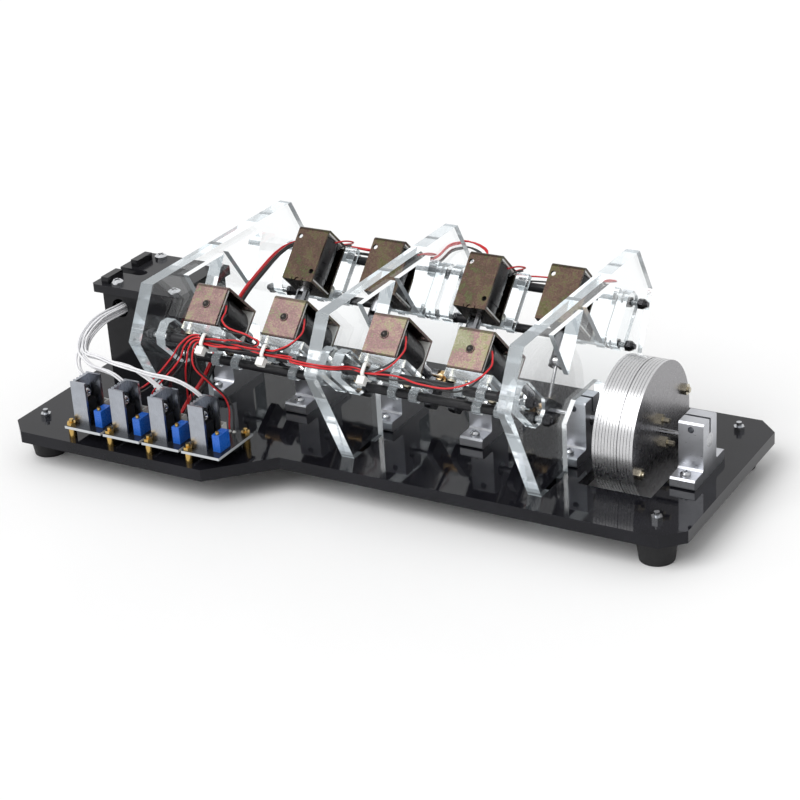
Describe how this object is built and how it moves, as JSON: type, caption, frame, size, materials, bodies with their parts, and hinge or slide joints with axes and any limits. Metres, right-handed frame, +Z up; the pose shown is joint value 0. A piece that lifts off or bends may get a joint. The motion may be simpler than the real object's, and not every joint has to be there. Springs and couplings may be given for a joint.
{
  "type": "solenoid motor demonstration model",
  "caption": "Electric motor for demonstration: pull solenoids in two banks turn a crankshaft with a flywheel, carried by clear plates on a black base with a control box and driver boards.",
  "frame": {"origin": "centre of the box that holds the model, on the surface it stands on", "axes": "+X along the crankshaft towards the flywheel, +Y to the rear, away from the driver boards, +Z up"},
  "size_m": [0.406, 0.191, 0.113],
  "materials": {
    "base_plate": "polished black acrylic",
    "rubber_feet": "moulded",
    "foot_bolts": "zinc plated",
    "clear_plate": "polished clear acrylic with bright edges",
    "tie_rods": "blackened thread",
    "rod_sleeves": "black nylon tube",
    "rod_nuts": "zinc plated",
    "shaft_supports": "machined",
    "bearing_rings": "ground",
    "support_screws": "zinc plated",
    "solenoid_frames": "yellow zinc passivated steel, slightly mottled",
    "coils": "black tape",
    "bobbins": "white nylon",
    "solenoid_screws": "yellow zinc plated",
    "control_box": "black acrylic panels",
    "control_box_lid": "dark grey acrylic",
    "lid_screws": "plated",
    "sensor_board": "green solder mask",
    "power_jack": "black moulding",
    "driver_boards": "black solder mask",
    "board_standoffs": "turned",
    "heat_sinks": "extruded, bright",
    "transistors": "black package on a metal tab",
    "trimmers": "blue moulding",
    "board_terminals": "white moulding and solder",
    "white_wires": "white insulation",
    "red_wires": "red insulation",
    "black_wires": "black insulation",
    "cable_ties": "white nylon",
    "crankshaft": "ground",
    "crank_webs": "dark steel",
    "flywheel": "turned",
    "flywheel_bolts": "zinc plated",
    "timing_disc": "dark plastic with a magnet",
    "bearing_cores": "ground",
    "con_rods": "machined",
    "plungers": "turned steel",
    "trimmer_screws": "turned"
  },
  "bodies": {
    "frame": {"base_plate": "base_plate", "rubber_feet": "rubber_feet", "foot_bolts": "foot_bolts", "frame_plate_left": "clear_plate", "frame_plate_middle": "clear_plate", "frame_plate_right": "clear_plate", "bank_brackets": "clear_plate", "solenoid_blocks": "clear_plate", "tie_rods": "tie_rods", "rod_sleeves": "rod_sleeves", "rod_nuts": "rod_nuts", "shaft_supports": "shaft_supports", "bearing_rings": "bearing_rings", "support_screws": "support_screws", "solenoid_frames_front": "solenoid_frames", "solenoid_frames_rear": "solenoid_frames", "coils": "coils", "bobbins": "bobbins", "solenoid_screws": "solenoid_screws", "control_box": "control_box", "control_box_lid": "control_box_lid", "lid_screws": "lid_screws", "sensor_board": "sensor_board", "power_jack": "power_jack", "driver_boards": "driver_boards", "board_standoffs": "board_standoffs", "heat_sinks": "heat_sinks", "transistors": "transistors", "trimmers": "trimmers", "board_terminals": "board_terminals", "white_wires": "white_wires", "red_wires": "red_wires", "black_wires": "black_wires", "cable_ties": "cable_ties"},
    "crank": {"crankshaft": "crankshaft", "crank_webs": "crank_webs", "flywheel": "flywheel", "flywheel_bolts": "flywheel_bolts", "timing_disc": "timing_disc", "bearing_cores": "bearing_cores"},
    "rod_1": {"con_rod_1": "con_rods"},
    "plunger_1": {"plunger_1": "plungers"},
    "rod_2": {"con_rod_2": "con_rods"},
    "plunger_2": {"plunger_2": "plungers"},
    "rod_3": {"con_rod_3": "con_rods"},
    "plunger_3": {"plunger_3": "plungers"},
    "rod_4": {"con_rod_4": "con_rods"},
    "plunger_4": {"plunger_4": "plungers"},
    "rod_5": {"con_rod_5": "con_rods"},
    "plunger_5": {"plunger_5": "plungers"},
    "rod_6": {"con_rod_6": "con_rods"},
    "plunger_6": {"plunger_6": "plungers"},
    "rod_7": {"con_rod_7": "con_rods"},
    "plunger_7": {"plunger_7": "plungers"},
    "rod_8": {"con_rod_8": "con_rods"},
    "plunger_8": {"plunger_8": "plungers"},
    "trimmer_1": {"trimmer_screw_1": "trimmer_screws"},
    "trimmer_2": {"trimmer_screw_2": "trimmer_screws"},
    "trimmer_3": {"trimmer_screw_3": "trimmer_screws"},
    "trimmer_4": {"trimmer_screw_4": "trimmer_screws"}
  },
  "joints": [
    {"name": "crank_spin", "type": "hinge", "parent": "frame", "child": "crank", "pos_m": [0, 0.0075, 0.0428], "axis": [1, 0, 0], "continuous": true},
    {"name": "rod_1_turn", "type": "hinge", "parent": "crank", "child": "rod_1", "pos_m": [-0.08385, 0.00177, 0.04682], "axis": [1, 0, 0], "continuous": true},
    {"name": "plunger_1_slide", "type": "slide", "parent": "frame", "child": "plunger_1", "axis": [0, -0.7071, 0.7071], "range_m": [-0.01387, 0.00013]},
    {"name": "rod_2_turn", "type": "hinge", "parent": "crank", "child": "rod_2", "pos_m": [-0.03285, 0.00348, 0.03707], "axis": [1, 0, 0], "continuous": true},
    {"name": "plunger_2_slide", "type": "slide", "parent": "frame", "child": "plunger_2", "axis": [0, -0.7071, 0.7071], "range_m": [-0.00492, 0.00908]},
    {"name": "rod_3_turn", "type": "hinge", "parent": "crank", "child": "rod_3", "pos_m": [0.03015, 0.01151, 0.04853], "axis": [1, 0, 0], "continuous": true},
    {"name": "plunger_3_slide", "type": "slide", "parent": "frame", "child": "plunger_3", "axis": [0, -0.7071, 0.7071], "range_m": [-0.00735, 0.00665]},
    {"name": "rod_4_turn", "type": "hinge", "parent": "crank", "child": "rod_4", "pos_m": [0.08115, 0.01323, 0.03879], "axis": [1, 0, 0], "continuous": true},
    {"name": "plunger_4_slide", "type": "slide", "parent": "frame", "child": "plunger_4", "axis": [0, -0.7071, 0.7071], "range_m": [-0.00008, 0.01392]},
    {"name": "rod_5_turn", "type": "hinge", "parent": "crank", "child": "rod_5", "pos_m": [-0.07815, 0.00177, 0.04682], "axis": [1, 0, 0], "continuous": true},
    {"name": "plunger_5_slide", "type": "slide", "parent": "frame", "child": "plunger_5", "axis": [0, 0.7071, 0.7071], "range_m": [-0.00492, 0.00908]},
    {"name": "rod_6_turn", "type": "hinge", "parent": "crank", "child": "rod_6", "pos_m": [-0.02715, 0.00348, 0.03707], "axis": [1, 0, 0], "continuous": true},
    {"name": "plunger_6_slide", "type": "slide", "parent": "frame", "child": "plunger_6", "axis": [0, 0.7071, 0.7071], "range_m": [-0.00008, 0.01392]},
    {"name": "rod_7_turn", "type": "hinge", "parent": "crank", "child": "rod_7", "pos_m": [0.03585, 0.01151, 0.04853], "axis": [1, 0, 0], "continuous": true},
    {"name": "plunger_7_slide", "type": "slide", "parent": "frame", "child": "plunger_7", "axis": [0, 0.7071, 0.7071], "range_m": [-0.01387, 0.00013]},
    {"name": "rod_8_turn", "type": "hinge", "parent": "crank", "child": "rod_8", "pos_m": [0.08685, 0.01323, 0.03879], "axis": [1, 0, 0], "continuous": true},
    {"name": "plunger_8_slide", "type": "slide", "parent": "frame", "child": "plunger_8", "axis": [0, 0.7071, 0.7071], "range_m": [-0.00735, 0.00665]},
    {"name": "trimmer_1_turn", "type": "hinge", "parent": "frame", "child": "trimmer_1", "pos_m": [-0.14058, -0.0844, 0.04], "axis": [0, 0, 1], "continuous": true},
    {"name": "trimmer_2_turn", "type": "hinge", "parent": "frame", "child": "trimmer_2", "pos_m": [-0.11368, -0.0844, 0.04], "axis": [0, 0, 1], "continuous": true},
    {"name": "trimmer_3_turn", "type": "hinge", "parent": "frame", "child": "trimmer_3", "pos_m": [-0.08679, -0.0844, 0.04], "axis": [0, 0, 1], "continuous": true},
    {"name": "trimmer_4_turn", "type": "hinge", "parent": "frame", "child": "trimmer_4", "pos_m": [-0.05989, -0.0844, 0.04], "axis": [0, 0, 1], "continuous": true}
  ],
  "couplings": [
    {"joint": "rod_1_turn", "follows": "crank_spin", "ratio": -1},
    {"joint": "rod_2_turn", "follows": "crank_spin", "ratio": -1},
    {"joint": "rod_3_turn", "follows": "crank_spin", "ratio": -1},
    {"joint": "rod_4_turn", "follows": "crank_spin", "ratio": -1},
    {"joint": "rod_5_turn", "follows": "crank_spin", "ratio": -1},
    {"joint": "rod_6_turn", "follows": "crank_spin", "ratio": -1},
    {"joint": "rod_7_turn", "follows": "crank_spin", "ratio": -1},
    {"joint": "rod_8_turn", "follows": "crank_spin", "ratio": -1}
  ]
}
